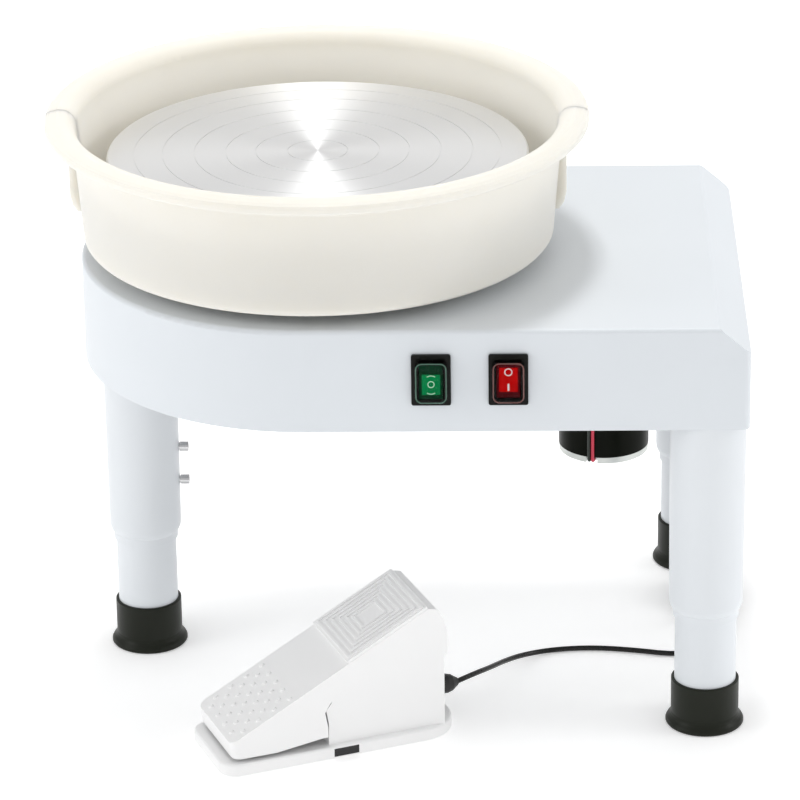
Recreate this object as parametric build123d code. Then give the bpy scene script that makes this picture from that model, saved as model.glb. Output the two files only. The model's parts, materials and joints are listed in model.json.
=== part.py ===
from build123d import *
import os
from math import asin, atan2, cos, degrees, hypot, pi, radians, sin, tan

os.makedirs("parts", exist_ok=True)

# Pottery wheel: a turning aluminium head in a two-part splash pan, on a D-shaped housing with three
# height-adjustable legs, and a foot pedal on a cord. All sizes in millimetres, +Z up, floor at Z = 0.
# Everything is laid out about the spindle axis, then moved so that the origin lies on the floor under
# the middle of the whole footprint.

# ---- driving dimensions ----
SPINDLE_AT = (-50.5, 13.83, 0.0)
FIT_GAP = 0.35             # gap between sliding faces
RUNNING_GAP = 0.04         # radial clearance of a shaft in its bore

HEAD_RADIUS = 140.0
HEAD_TOP = 358.5
HEAD_THICKNESS = 10.0
HEAD_RING_RADII = (20.0, 41.0, 61.0, 82.0, 103.0, 122.0)
SHAFT_RADIUS = 10.0
HUB_FLANGE_RADIUS = 34.0
HEAD_SCREW_CIRCLE = 26.0

HOUSING_TOP = 291.0
HOUSING_BOTTOM = 221.0
HOUSING_HALF_DEPTH = 153.0
HOUSING_RIGHT = 281.0
HOUSING_NOSE_X = -6.0      # centre of the rounded left end
HOUSING_WALL = 2.5
HOUSING_CORNER = 5.0
CHAMFER_RUN = 20.5
CHAMFER_DROP = 17.5
PLATE_THICKNESS = 2.0

PAN_RIM_TOP = 388.0
PAN_RIM_RADIUS = 180.0
PAN_RIM_INNER = 168.0
PAN_LIP_HEIGHT = 8.0
PAN_WALL_TOP_RADIUS = 162.0
PAN_WALL_FOOT_RADIUS = 156.5
PAN_WALL = 3.0
PAN_RIM_ROUND = 10.0       # from the inside of the wall up over the rim
PAN_TURN_Z = 304.5         # where the wall starts to turn under
PAN_FOOT_RADIUS = 118.0
PAN_COLLAR_RADIUS = 34.0
PAN_COLLAR_TOP = 330.0
PAN_HOOK_HALF_WIDTH = 9.0
PAN_HOOK_DROP = 59.0

LEG_SPOTS = {"left": (-123.5, 0.0, 0.0), "front": (255.0, -128.0, 90.0), "rear": (255.0, 128.0, -90.0)}
SLEEVE_TOP_RADIUS = 25.0
SLEEVE_LOW_RADIUS = 24.3
SLEEVE_SHOULDER = 90.0
SLEEVE_BOTTOM = 79.0
TUBE_RADIUS = 20.4
TUBE_TOP = 168.0
FOOT_RADIUS = 22.5
FOOT_FLANGE_RADIUS = 26.0
FOOT_TOP = 32.4
FOOT_SOLE = 5.0
CLAMP_SCREW_Z = (120.5, 145.0)

MOTOR_X = 190.3
MOTOR_RADIUS = 30.5
MOTOR_BOTTOM = 143.6
MOTOR_CAP = 4.2
MOTOR_SHAFT_RADIUS = 4.0
DRIVEN_PULLEY_RADIUS = 70.0
MOTOR_PULLEY_RADIUS = 14.0
PULLEY_Z = (226.0, 240.0)
BELT_THICKNESS = 2.5
BELT_WIDTH = 11.5
LEAD_ANGLE = 253.0         # where the motor leads run up the can

SWITCH_X = {"direction": 75.8, "power": 125.4}
SWITCH_Z = 257.5
SWITCH_WIDTH = 25.5
SWITCH_HEIGHT = 35.0
ROCKER_WIDTH = 15.0
ROCKER_HEIGHT = 23.0
BOOT_DEPTH = 8.0

INLET_AT = (215.0, 256.0)
GLAND_AT = (262.5, -1.0)

PEDAL_AT = (10.9, -143.8)
PEDAL_TURN = 22.5
PEDAL_BASE_FRONT = -92.0
PEDAL_BASE_REAR = 76.0
PEDAL_BASE_HALF = 35.0
PEDAL_BASE_HEIGHT = 8.0
TREADLE_HALF = 32.5
TREADLE_WALL = 1.6
TREADLE_SLOPE = 0.516
TREADLE_TOE = (-86.3, 22.7)
TREADLE_REAR = 66.4
PIVOT = (-76.0, 15.5)
PIVOT_PIN_RADIUS = 2.0
BOX_HALF = 30.5
BOX_REAR = 64.6
PINION_RADIUS = 6.0
PINION_TEETH = 12
SENSOR_AT = (40.0, 24.0)
SPRING_U = 2.0

CORD_DIAMETER = 3.6
COIL_AT = (262.5, 62.0)
COIL_RADIUS = 18.2         # middle of the turns
COIL_LAYERS = 4
COIL_LIFT = 0.8            # the tie's thickness, which the turns rest on


# ---- helpers ----
def rod(radius, low, high):
    """A vertical cylinder on the axis, from one height to another."""
    return Pos(0, 0, low) * Cylinder(radius, high - low, align=(Align.CENTER, Align.CENTER, Align.MIN))


def ring(outer, inner, low, high):
    """A vertical tube on the axis."""
    return rod(outer, low, high) - rod(inner, low - 1, high + 1)


def block(low, high):
    """A box from its lowest to its highest corner."""
    size = [b - a for a, b in zip(low, high)]
    middle = [(a + b) / 2 for a, b in zip(low, high)]
    return Pos(*middle) * Box(*size)


def turned(profile):
    """A solid of revolution about Z from a closed outline of radius and height."""
    face = make_face(Polyline(*[(r, 0, z) for r, z in profile], close=True))
    return revolve(face, Axis.Z)


def side_plate(outline, half_width):
    """A plate in the pedal's side view: an outline along U and W, as wide as twice half_width."""
    face = make_face(Polyline(*[(u, 0, w) for u, w in outline], close=True))
    return extrude(face, amount=half_width, both=True, dir=(0, 1, 0))


def polar(radius, angle, z=0.0):
    """A point at a radius and an angle in degrees."""
    return (radius * cos(radians(angle)), radius * sin(radians(angle)), z)


def group(solids):
    """Separate solids that share one node."""
    return Compound(list(solids))


def hex_screw(head_radius, head_height, shank_radius, shank_length):
    """A hexagon-headed screw whose head stands on Z = 0 and whose shank points down."""
    head = extrude(RegularPolygon(head_radius, 6), head_height)
    return head + rod(shank_radius, -shank_length, 0)


def socket_screw(head_radius, head_height, shank_radius, shank_length):
    """A cylindrical socket-head screw whose head stands on Z = 0 and whose shank points down."""
    socket = Pos(0, 0, head_height * 0.4) * extrude(RegularPolygon(head_radius * 0.55, 6), head_height)
    return rod(head_radius, 0, head_height) - socket + rod(shank_radius, -shank_length, 0)


parts = {}
HEAD_BOTTOM = HEAD_TOP - HEAD_THICKNESS
PLATE_TOP = HOUSING_BOTTOM + PLATE_THICKNESS
ROOF = HOUSING_TOP - HOUSING_WALL


# ---- wheel head, hub and spindle ----
def wheel_head():
    """The machined disc, with shallow centring rings in its face and screw holes underneath."""
    edge = 1.2
    disc = turned([(0, HEAD_BOTTOM), (HEAD_RADIUS - 3, HEAD_BOTTOM), (HEAD_RADIUS, HEAD_BOTTOM + 3),
                   (HEAD_RADIUS, HEAD_TOP - edge), (HEAD_RADIUS - edge, HEAD_TOP), (0, HEAD_TOP)])
    for radius in HEAD_RING_RADII:
        disc -= ring(radius + 0.3, radius - 0.3, HEAD_TOP - 0.35, HEAD_TOP + 1)
    for angle in (0, 120, 240):
        disc -= Pos(*polar(HEAD_SCREW_CIRCLE, angle)) * rod(3.0, HEAD_BOTTOM - 1, HEAD_BOTTOM + 6)
    return disc


def head_hub():
    """The flanged hub that carries the wheel head on the spindle."""
    flange_bottom = HEAD_BOTTOM - 7.5
    hub = turned([(SHAFT_RADIUS, 308), (17, 308), (17, flange_bottom - 4), (21, flange_bottom),
                  (HUB_FLANGE_RADIUS, flange_bottom), (HUB_FLANGE_RADIUS, HEAD_BOTTOM), (0, HEAD_BOTTOM),
                  (0, HEAD_BOTTOM - 2.5), (SHAFT_RADIUS, HEAD_BOTTOM - 2.5)])
    for angle in (0, 120, 240):
        hub -= Pos(*polar(HEAD_SCREW_CIRCLE, angle)) * rod(3.0, flange_bottom - 1, HEAD_BOTTOM + 1)
    return hub


def head_screws():
    """Three screws up through the hub flange into the head."""
    screw = Pos(0, 0, HEAD_BOTTOM - 7.5) * Rot(180, 0, 0) * hex_screw(4.9, 4, 3.0, 13)
    return group(Pos(*polar(HEAD_SCREW_CIRCLE, angle)) * screw for angle in (0, 120, 240))


def driven_pulley():
    """A flat belt pulley with a thin web and six holes."""
    low, high = PULLEY_Z
    rim = DRIVEN_PULLEY_RADIUS
    pulley = turned([(SHAFT_RADIUS, low), (18, low), (18, low + 4), (rim - 6, low + 4), (rim - 6, low),
                     (rim, low), (rim, high), (rim - 6, high), (rim - 6, high - 4), (18, high - 4),
                     (18, high), (SHAFT_RADIUS, high)])
    for step in range(6):
        pulley -= Pos(*polar(41, 60 * step)) * rod(11, low, high)
    return pulley


parts["wheel_head"] = wheel_head()
parts["head_hub"] = head_hub()
parts["head_screws"] = head_screws()
parts["spindle_shaft"] = rod(SHAFT_RADIUS, PULLEY_Z[0], HEAD_BOTTOM - 2.5)
parts["driven_pulley"] = driven_pulley()

# ---- spindle bearing housing ----
BEARING_RADIUS = 23.5
BEARING_SEATS = ((244.0, 258.0), (289.0, 303.0))


def spindle_bearing_housing():
    """A cast sleeve that hangs from a flange under the housing's roof and rises through it."""
    low, high = BEARING_SEATS[0][0], BEARING_SEATS[1][1]
    body = ring(28, 21, low, high) + ring(44, 21, ROOF - 6, ROOF)
    for seat_low, seat_high in BEARING_SEATS:
        body -= rod(BEARING_RADIUS, seat_low, seat_high)
    for angle in (45, 135, 225, 315):
        body -= Pos(*polar(36, angle)) * rod(3.0, ROOF - 7, ROOF + 1)
    return body


def bearing(low, high):
    """A deep-groove bearing: outer race, inner race and shields as one closed ring."""
    body = ring(BEARING_RADIUS, SHAFT_RADIUS + RUNNING_GAP, low, high)
    groove = ring(20, 14, high - 0.6, high + 1) + ring(20, 14, low - 1, low + 0.6)
    return body - groove


parts["spindle_bearing_housing"] = spindle_bearing_housing()
parts["bearing_lower"] = bearing(*BEARING_SEATS[0])
parts["bearing_upper"] = bearing(*BEARING_SEATS[1])
spindle_bolt = Pos(0, 0, HOUSING_TOP) * hex_screw(5.0, 3.5, 3.0, 8.5)
parts["spindle_housing_bolts"] = group(Pos(*polar(36, angle)) * spindle_bolt
                                       for angle in (45, 135, 225, 315))


# ---- housing ----
def housing_plan(inset):
    """The D-shaped plan: a rectangle whose left end is a half circle."""
    half = HOUSING_HALF_DEPTH - inset
    length = HOUSING_RIGHT - inset - HOUSING_NOSE_X
    plan = Pos(HOUSING_NOSE_X + length / 2, 0) * Rectangle(length, 2 * half)
    return plan + Pos(HOUSING_NOSE_X, 0) * Circle(half)


def chamfer_cutter(inset):
    """What the sloping top right edge takes away, moved inwards for the inner face."""
    scale = hypot(CHAMFER_RUN, CHAMFER_DROP)
    normal = (CHAMFER_DROP / scale, CHAMFER_RUN / scale)
    along = (CHAMFER_RUN / scale, -CHAMFER_DROP / scale)
    middle = (HOUSING_RIGHT - CHAMFER_RUN / 2 - normal[0] * inset,
              HOUSING_TOP - CHAMFER_DROP / 2 - normal[1] * inset)
    reach = 40
    corners = [(middle[0] - along[0] * reach, middle[1] - along[1] * reach),
               (middle[0] + along[0] * reach, middle[1] + along[1] * reach),
               (middle[0] + (along[0] + normal[0]) * reach, middle[1] + (along[1] + normal[1]) * reach),
               (middle[0] + (normal[0] - along[0]) * reach, middle[1] + (normal[1] - along[1]) * reach)]
    face = make_face(Polyline(*[(x, 0, z) for x, z in corners], close=True))
    return extrude(face, amount=HOUSING_HALF_DEPTH + 5, both=True, dir=(0, 1, 0))


def housing_block(inset, low, high):
    """A solid of the housing's plan with its vertical right corners rounded."""
    solid = Pos(0, 0, low) * extrude(housing_plan(inset), high - low)
    corners = solid.edges().filter_by(Axis.Z).sort_by(Axis.X)[-2:]
    return fillet(corners, HOUSING_CORNER - inset)


def housing_shell():
    """The white cover: front, back, end and roof in one shell, open underneath."""
    outer = housing_block(0, HOUSING_BOTTOM, HOUSING_TOP) - chamfer_cutter(0)
    top_edges = outer.edges().filter_by(lambda edge: edge.center().Z > HOUSING_BOTTOM + 40
                                        and abs(edge.center().Z - HOUSING_TOP) < 0.01)
    outer = fillet(top_edges, 3.0)
    inner = housing_block(HOUSING_WALL, HOUSING_BOTTOM - 1, ROOF) - chamfer_cutter(HOUSING_WALL)
    shell = outer - inner - rod(28.5, ROOF - 1, HOUSING_TOP + 1)
    for angle in (45, 135, 225, 315):
        shell -= Pos(*polar(36, angle)) * rod(3.0, ROOF - 1, HOUSING_TOP + 1)
    front = -HOUSING_HALF_DEPTH
    for x in SWITCH_X.values():
        shell -= Pos(x, front, SWITCH_Z) * Box(22, 10, 30)
    shell -= Pos(INLET_AT[0], -front, INLET_AT[1]) * Box(28, 10, 20)
    for side in (-1, 1):
        shell -= Pos(INLET_AT[0] + 20 * side, -front, INLET_AT[1]) * Rot(90, 0, 0) * Cylinder(1.5, 10)
    return shell


BOARD_LOW, BOARD_HIGH = (30.0, 84.0), (150.0, 142.0)
BOARD_Z = PLATE_TOP + 8.0
BOARD_CORNERS = [(x, y) for x in (BOARD_LOW[0] + 5, BOARD_HIGH[0] - 5)
                 for y in (BOARD_LOW[1] + 5, BOARD_HIGH[1] - 5)]
PLATE_SCREW_SPOTS = [(-60, -130), (60, -140), (180, -140), (268, -60),
                     (268, 60), (180, 140), (60, 140), (-60, 130)]


def bottom_plate():
    """The steel sheet that closes the housing, with vents, holes and four pressed-in board studs."""
    inset = HOUSING_WALL + 0.2
    plate = housing_block(inset, HOUSING_BOTTOM, PLATE_TOP)
    low, high = HOUSING_BOTTOM - 1, PLATE_TOP + 1
    plate -= Pos(MOTOR_X, 0) * rod(12.2, low, high)
    for angle in (45, 135, 225, 315):
        plate -= Pos(MOTOR_X, 0) * Pos(*polar(22, angle)) * rod(2.0, low, high)
    for x, y, turn in LEG_SPOTS.values():
        for angle in (0, 120, 240):
            plate -= Pos(x, y) * Pos(*polar(13, angle + turn)) * rod(3.0, low, high)
    plate -= Pos(*GLAND_AT) * rod(6.0, low, high)
    plate -= Pos(MOTOR_X, 0) * Pos(*polar(34, LEAD_ANGLE)) * rod(5.0, low, high)
    for x, y in PLATE_SCREW_SPOTS:
        plate -= Pos(x, y) * rod(1.6, low, high)
    for row in range(8):
        plate -= Pos(40 + 10 * row, 110, HOUSING_BOTTOM) * Box(4, 40, 10)
    for x, y in BOARD_CORNERS:
        plate += Pos(x, y) * (rod(3, PLATE_TOP, BOARD_Z) + rod(1.6, BOARD_Z, BOARD_Z + 3.5))
    return plate


parts["housing_shell"] = housing_shell()
parts["bottom_plate"] = bottom_plate()
plate_screw = Pos(0, 0, HOUSING_BOTTOM) * Rot(180, 0, 0) * (rod(3.0, 0, 1.8) + rod(1.6, -6, 0))
parts["bottom_plate_screws"] = group(Pos(x, y) * plate_screw for x, y in PLATE_SCREW_SPOTS)


# ---- splash pan ----
PAN_RIM_CORNER = (PAN_WALL_TOP_RADIUS - PAN_WALL + 1.45, PAN_RIM_TOP + 0.2)


def splash_pan_profile():
    """Half section of the pan: rolled lip, tapered wall, turned-under floor, foot ring and centre collar."""
    foot_z = HOUSING_TOP + 0.3
    floor_top = 300.5
    floor_bottom = floor_top - PAN_WALL
    lip_bottom = PAN_RIM_TOP - PAN_LIP_HEIGHT
    collar_inner = PAN_COLLAR_RADIUS - PAN_WALL
    outer = [(PAN_RIM_INNER + 4, PAN_RIM_TOP + 0.3),
             (PAN_RIM_RADIUS - 3, PAN_RIM_TOP - 0.9), (PAN_RIM_RADIUS - 0.8, PAN_RIM_TOP - 2.2),
             (PAN_RIM_RADIUS, PAN_RIM_TOP - 4), (PAN_RIM_RADIUS, lip_bottom + 1),
             (PAN_RIM_RADIUS - 1, lip_bottom), (PAN_RIM_RADIUS - 2.5, lip_bottom + 0.3),
             (PAN_RIM_RADIUS - 4, PAN_RIM_TOP - 4.5), (PAN_RIM_INNER + 2, PAN_RIM_TOP - 4),
             (PAN_WALL_TOP_RADIUS + 2.5, PAN_RIM_TOP - 8), (PAN_WALL_TOP_RADIUS, PAN_RIM_TOP - 16),
             (PAN_WALL_FOOT_RADIUS, PAN_TURN_Z), (PAN_WALL_FOOT_RADIUS - 1.7, PAN_TURN_Z - 2.1),
             (PAN_WALL_FOOT_RADIUS - 15.5, floor_bottom), (PAN_FOOT_RADIUS + 1, floor_bottom),
             (PAN_FOOT_RADIUS, foot_z), (PAN_FOOT_RADIUS - 3, foot_z), (PAN_FOOT_RADIUS - 4, floor_bottom),
             (collar_inner, floor_bottom), (collar_inner, PAN_COLLAR_TOP)]
    inner = [(PAN_COLLAR_RADIUS, PAN_COLLAR_TOP), (PAN_COLLAR_RADIUS + 1, floor_top + 3),
             (PAN_COLLAR_RADIUS + 4, floor_top), (PAN_WALL_FOOT_RADIUS - 18.5, floor_top),
             (PAN_WALL_FOOT_RADIUS - 7, floor_top + 3.9), (PAN_WALL_FOOT_RADIUS - 4.2, floor_top + 7),
             (PAN_WALL_FOOT_RADIUS - PAN_WALL + 0.1, floor_top + 12),
             PAN_RIM_CORNER]
    return outer + inner


def whole_pan():
    """The pan before it is cut in two, with the inside of its rim rounded."""
    face = make_face(Polyline(*[(r, 0, z) for r, z in splash_pan_profile()], close=True))
    corner = face.vertices().sort_by_distance((PAN_RIM_CORNER[0], 0, PAN_RIM_CORNER[1]))[0]
    return revolve(fillet(corner, PAN_RIM_ROUND), Axis.Z)


SEAM_GAP = 0.3
HOOK_TOP = PAN_RIM_TOP - PAN_LIP_HEIGHT - 1.5


def hook_plate(side):
    """A curved plate outside the wall at one seam, from under the lip almost to the wall's foot."""
    outer = PAN_WALL_TOP_RADIUS + 3.2
    low = HOOK_TOP - PAN_HOOK_DROP
    shell = turned([(PAN_WALL_FOOT_RADIUS - 6, low), (outer - 5, low), (outer - 1.6, low + 5),
                    (outer, low + 12), (outer, HOOK_TOP), (PAN_WALL_FOOT_RADIUS - 6, HOOK_TOP)])
    return shell & Pos(side * 170, 0, 345) * Box(40, 2 * PAN_HOOK_HALF_WIDTH, 90)


def inside_wall(offset, top):
    """Everything inside the wall's outer face moved out by an offset, up to a height under the lip."""
    foot = PAN_WALL_FOOT_RADIUS + offset
    return turned([(0, 280), (foot, 280), (foot, PAN_TURN_Z), (PAN_WALL_TOP_RADIUS + offset, PAN_RIM_TOP - 16),
                   (PAN_WALL_TOP_RADIUS + 2.5 + offset, top), (0, top)])


def pan_half(direction):
    """The front (-1) or rear (+1) half; the front half's seam hooks lap over the rear half's wall."""
    keep = block((-200, min(direction * 200, direction * SEAM_GAP / 2), 280),
                 (200, max(direction * 200, direction * SEAM_GAP / 2), 400))
    half = whole_pan() & keep
    if direction < 0:
        front_side = block((-200, -200, 280), (200, -SEAM_GAP / 2, 400))
        for side in (-1, 1):
            plate = hook_plate(side)
            half += (plate & front_side) - inside_wall(-1.0, HOOK_TOP + 1)
            half += (plate - front_side) - inside_wall(0.45, HOOK_TOP)
    return half


parts["splash_pan_front"] = pan_half(-1)
parts["splash_pan_rear"] = pan_half(1)


# ---- drive: motor, pulleys and belt ----
def motor_can():
    """The black steel can, closed at its upper end by a face with a pilot boss."""
    cap_top = MOTOR_BOTTOM + MOTOR_CAP
    can = ring(MOTOR_RADIUS, MOTOR_RADIUS - 2, cap_top, HOUSING_BOTTOM)
    can += rod(MOTOR_RADIUS - 1, HOUSING_BOTTOM - 4, HOUSING_BOTTOM) + rod(12, HOUSING_BOTTOM, PLATE_TOP + 1)
    can -= rod(MOTOR_SHAFT_RADIUS + RUNNING_GAP, HOUSING_BOTTOM - 10, PLATE_TOP + 5)
    for angle in (45, 135, 225, 315):
        can -= Pos(*polar(22, angle)) * rod(2.0, HOUSING_BOTTOM - 5, HOUSING_BOTTOM + 1)
    return can


def motor_end_cap():
    """The bright cap at the lower end, with the slot where the leads leave it."""
    cap_top = MOTOR_BOTTOM + MOTOR_CAP
    cap = rod(MOTOR_RADIUS - 0.4, MOTOR_BOTTOM, cap_top) + rod(9, MOTOR_BOTTOM - 2, MOTOR_BOTTOM)
    cap -= rod(MOTOR_SHAFT_RADIUS + RUNNING_GAP, MOTOR_BOTTOM + 1, cap_top + 1)
    slot = block((MOTOR_RADIUS - 6, -4, MOTOR_BOTTOM - 1), (MOTOR_RADIUS + 1, 4, cap_top + 1))
    return cap - Rot(0, 0, LEAD_ANGLE) * slot


def motor_magnets():
    """Two arc magnets against the inside of the can."""
    arc = ring(MOTOR_RADIUS - 2, MOTOR_RADIUS - 6, 150, 200)
    return group(arc & block((-22, side * 8 if side > 0 else -30, 140), (22, 30 if side > 0 else -8, 210))
                 for side in (-1, 1))


def drive_belt():
    """A flat band round both pulleys, held a hair off their faces."""
    low = (PULLEY_Z[0] + PULLEY_Z[1] - BELT_WIDTH) / 2

    def loop(extra):
        lean = asin((DRIVEN_PULLEY_RADIUS - MOTOR_PULLEY_RADIUS) / MOTOR_X)
        big, small = DRIVEN_PULLEY_RADIUS + extra, MOTOR_PULLEY_RADIUS + extra
        across, along = sin(lean), cos(lean)
        corners = [(big * across, big * along), (MOTOR_X + small * across, small * along),
                   (MOTOR_X + small * across, -small * along), (big * across, -big * along)]
        band = make_face(Polyline(*corners, close=True))
        return band + Circle(big) + Pos(MOTOR_X, 0) * Circle(small)

    gap = 0.3
    return Pos(0, 0, low) * extrude(loop(gap + BELT_THICKNESS) - loop(gap), BELT_WIDTH)


def motor_lead(shift):
    """One lead from the slot in the end cap, up the outside of the can and through the bottom plate."""
    turn = LEAD_ANGLE + shift
    points = [(MOTOR_RADIUS - 4, 0, MOTOR_BOTTOM + 1.6), (MOTOR_RADIUS + 1.6, 0, MOTOR_BOTTOM + 2.2),
              (MOTOR_RADIUS + 1.8, 0, HOUSING_BOTTOM - 22), (MOTOR_RADIUS + 3.5, 0, PLATE_TOP + 6)]
    path = FilletPolyline(*points, radius=[1.8, 30])
    profile = Plane(origin=path @ 0, z_dir=path % 0) * Circle(1.1)
    return Pos(MOTOR_X, 0, 0) * Rot(0, 0, turn) * sweep(profile, path=path)


motor_at = Pos(MOTOR_X, 0, 0)
parts["motor_can"] = motor_at * motor_can()
parts["motor_end_cap"] = motor_at * motor_end_cap()
parts["motor_magnets"] = motor_at * motor_magnets()
motor_rotor = rod(MOTOR_SHAFT_RADIUS, MOTOR_BOTTOM + 1.5, PULLEY_Z[1] + 2.5) + rod(MOTOR_RADIUS - 7, 152, 198)
parts["motor_rotor"] = motor_at * motor_rotor
flange_rings = ring(MOTOR_PULLEY_RADIUS + 3, MOTOR_SHAFT_RADIUS, PULLEY_Z[0] - 0.8, PULLEY_Z[0] + 0.7)
flange_rings += ring(MOTOR_PULLEY_RADIUS + 3, MOTOR_SHAFT_RADIUS, PULLEY_Z[1] - 0.7, PULLEY_Z[1] + 0.8)
parts["motor_pulley"] = motor_at * (ring(MOTOR_PULLEY_RADIUS, MOTOR_SHAFT_RADIUS, *PULLEY_Z) + flange_rings)
motor_screw = Pos(0, 0, PLATE_TOP) * (rod(3.4, 0, 1.2) + rod(2.0, -6, 0))
parts["motor_screws"] = motor_at * group(Pos(*polar(22, angle)) * motor_screw
                                         for angle in (45, 135, 225, 315))
parts["drive_belt"] = drive_belt()
parts["motor_lead_red"] = motor_lead(2.3)
parts["motor_lead_black"] = motor_lead(-2.3)

# ---- speed controller ----
def board_components():
    """A relay, a transformer, two capacitors and a terminal block on the board."""
    base = BOARD_Z + 1.6
    boxes = [block((40, 92, base), (64, 112, base + 18)), block((72, 90, base), (100, 116, base + 24)),
             block((112, 88, base), (142, 98, base + 11))]
    cans = [Pos(54, 128) * rod(8, base, base + 25), Pos(76, 128) * rod(8, base, base + 25)]
    return group(boxes + cans)


def controller_heatsink():
    """A finned aluminium heatsink that stands on the board."""
    base = BOARD_Z + 1.6
    sink = block((92, 121, base), (144, 125, base + 26))
    for step in range(9):
        sink += block((92 + 6 * step, 124, base), (94 + 6 * step, 138, base + 26))
    return sink


board = block((*BOARD_LOW, BOARD_Z), (*BOARD_HIGH, BOARD_Z + 1.6))
for x, y in BOARD_CORNERS:
    board -= Pos(x, y) * rod(1.6, BOARD_Z - 1, BOARD_Z + 3)
parts["controller_board"] = board
parts["controller_components"] = board_components()
parts["controller_heatsink"] = controller_heatsink()


# ---- rocker switches ----
ROCKER_AXIS_DEPTH = 4.0    # the rocker turns this far behind the panel
ROCKER_REST = {"direction": 0.0, "power": -8.0}


def switch_body():
    """Bezel and housing of a panel rocker switch, seen from the front along +Y, its bezel on Y = 0."""
    bezel = block((-SWITCH_WIDTH / 2, -1.8, -SWITCH_HEIGHT / 2), (SWITCH_WIDTH / 2, 0, SWITCH_HEIGHT / 2))
    bezel = fillet(bezel.edges().filter_by(Axis.Y), 1.5)
    body = bezel + block((-10.8, 0, -14.8), (10.8, 24, 14.8))
    body -= block((-ROCKER_WIDTH / 2 - 0.5, -3, -ROCKER_HEIGHT / 2 - 1.5),
                  (ROCKER_WIDTH / 2 + 0.5, 16, ROCKER_HEIGHT / 2 + 1.5))
    for z in (-9, 0, 9):
        body += block((-0.4, 24, z - 3), (0.4, 33, z + 3))
    return body


def switch_rocker():
    """A saddle-shaped rocker centred on its axis, its two paddles standing proud of the bezel."""
    half = ROCKER_HEIGHT / 2
    outline = [(-5.0, -half), (-4.0, -half + 4), (-3.2, 0), (-4.0, half - 4), (-5.0, half),
               (1.5, half - 1.5), (6.5, 3.5), (11.0, 0), (6.5, -3.5), (1.5, -half + 1.5)]
    face = make_face(Polyline(*[(0, y, z) for y, z in outline], close=True))
    rocker = extrude(face, amount=ROCKER_WIDTH / 2, both=True, dir=(1, 0, 0))
    trunnion = Rot(0, 90, 0) * Cylinder(1.5, ROCKER_WIDTH + 0.6)
    return Pos(0, -ROCKER_AXIS_DEPTH, 0) * rocker + trunnion


def switch_boot():
    """The clear splash boot over the rocker: a thin open-backed cap clipped round the bezel's opening."""
    width, height, wall = SWITCH_WIDTH - 4.5, SWITCH_HEIGHT - 6.5, 0.8
    cap = block((-width / 2, -BOOT_DEPTH, -height / 2), (width / 2, -1.8, height / 2))
    cap = fillet(cap.edges().filter_by(Axis.Y), 4.5)
    cap = fillet(cap.faces().sort_by(Axis.Y)[0].edges(), 1.5)
    space = block((wall - width / 2, -BOOT_DEPTH + wall, wall - height / 2),
                  (width / 2 - wall, 0, height / 2 - wall))
    return cap - fillet(space.edges().filter_by(Axis.Y), 3.8)


for name, x in SWITCH_X.items():
    place = Pos(x, -HOUSING_HALF_DEPTH, SWITCH_Z)
    parts[f"{name}_switch_body"] = place * switch_body()
    rocker_place = place * Pos(0, ROCKER_AXIS_DEPTH, 0) * Rot(ROCKER_REST[name], 0, 0)
    parts[f"{name}_switch_rocker"] = rocker_place * switch_rocker()
    parts[f"{name}_switch_boot"] = place * switch_boot()


# ---- mains inlet on the back ----
def mains_inlet():
    """A three-pin appliance inlet with a screw flange; its mouth faces +Y."""
    flange = block((-25, 0, -11.5), (25, 3, 11.5))
    flange = fillet(flange.edges().filter_by(Axis.Y), 5)
    body = flange + block((-13.7, -26, -9.7), (13.7, 3, 9.7))
    body -= block((-12, -17, -7.7), (12, 4, 7.7))
    for x, z in ((-7, -2), (7, -2), (0, 2)):
        body += block((x - 1, -17.5, z - 2), (x + 1, 0, z + 2))
    for side in (-1, 1):
        body -= Pos(20 * side, 0, 0) * Rot(90, 0, 0) * Cylinder(1.5, 20)
    return body


inlet_place = Pos(INLET_AT[0], HOUSING_HALF_DEPTH, INLET_AT[1])
parts["mains_inlet"] = inlet_place * mains_inlet()
inlet_screw = Rot(-90, 0, 0) * (rod(2.8, 0, 1.6) + rod(1.5, -9, 0))
parts["mains_inlet_screws"] = group(inlet_place * Pos(20 * side, 3, 0) * inlet_screw for side in (-1, 1))


# ---- legs ----
def leg_sleeve():
    """The outer sleeve: a slightly tapered tube with a rounded shoulder, a short neck and a closed top."""
    bore = TUBE_RADIUS + FIT_GAP
    sleeve = turned([(bore, SLEEVE_BOTTOM), (21.9, SLEEVE_BOTTOM), (21.9, SLEEVE_SHOULDER - 6),
                     (23.4, SLEEVE_SHOULDER - 4.2), (24.1, SLEEVE_SHOULDER - 2),
                     (SLEEVE_LOW_RADIUS, SLEEVE_SHOULDER), (SLEEVE_TOP_RADIUS, HOUSING_BOTTOM),
                     (0, HOUSING_BOTTOM), (0, HOUSING_BOTTOM - 4), (bore, HOUSING_BOTTOM - 4)])
    for angle in (0, 120, 240):
        sleeve -= Pos(*polar(13, angle)) * rod(3.0, HOUSING_BOTTOM - 5, HOUSING_BOTTOM + 1)
    for z in CLAMP_SCREW_Z:
        sleeve -= Pos(SLEEVE_TOP_RADIUS, 0, z) * Rot(0, 90, 0) * Cylinder(2.5, 20)
    return sleeve


def leg_foot():
    """A rubber cup foot with a flared sole."""
    flange = FOOT_FLANGE_RADIUS
    return turned([(0, 0), (flange - 0.6, 0), (flange, 0.8), (flange, 2.0), (flange - 0.8, 3.6),
                   (flange - 2.2, 5.2), (FOOT_RADIUS + 0.5, 6.6), (FOOT_RADIUS, 8.4), (FOOT_RADIUS, FOOT_TOP - 0.6),
                   (FOOT_RADIUS - 0.6, FOOT_TOP), (TUBE_RADIUS + 0.05, FOOT_TOP),
                   (TUBE_RADIUS + 0.05, FOOT_SOLE), (0, FOOT_SOLE)])


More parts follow.
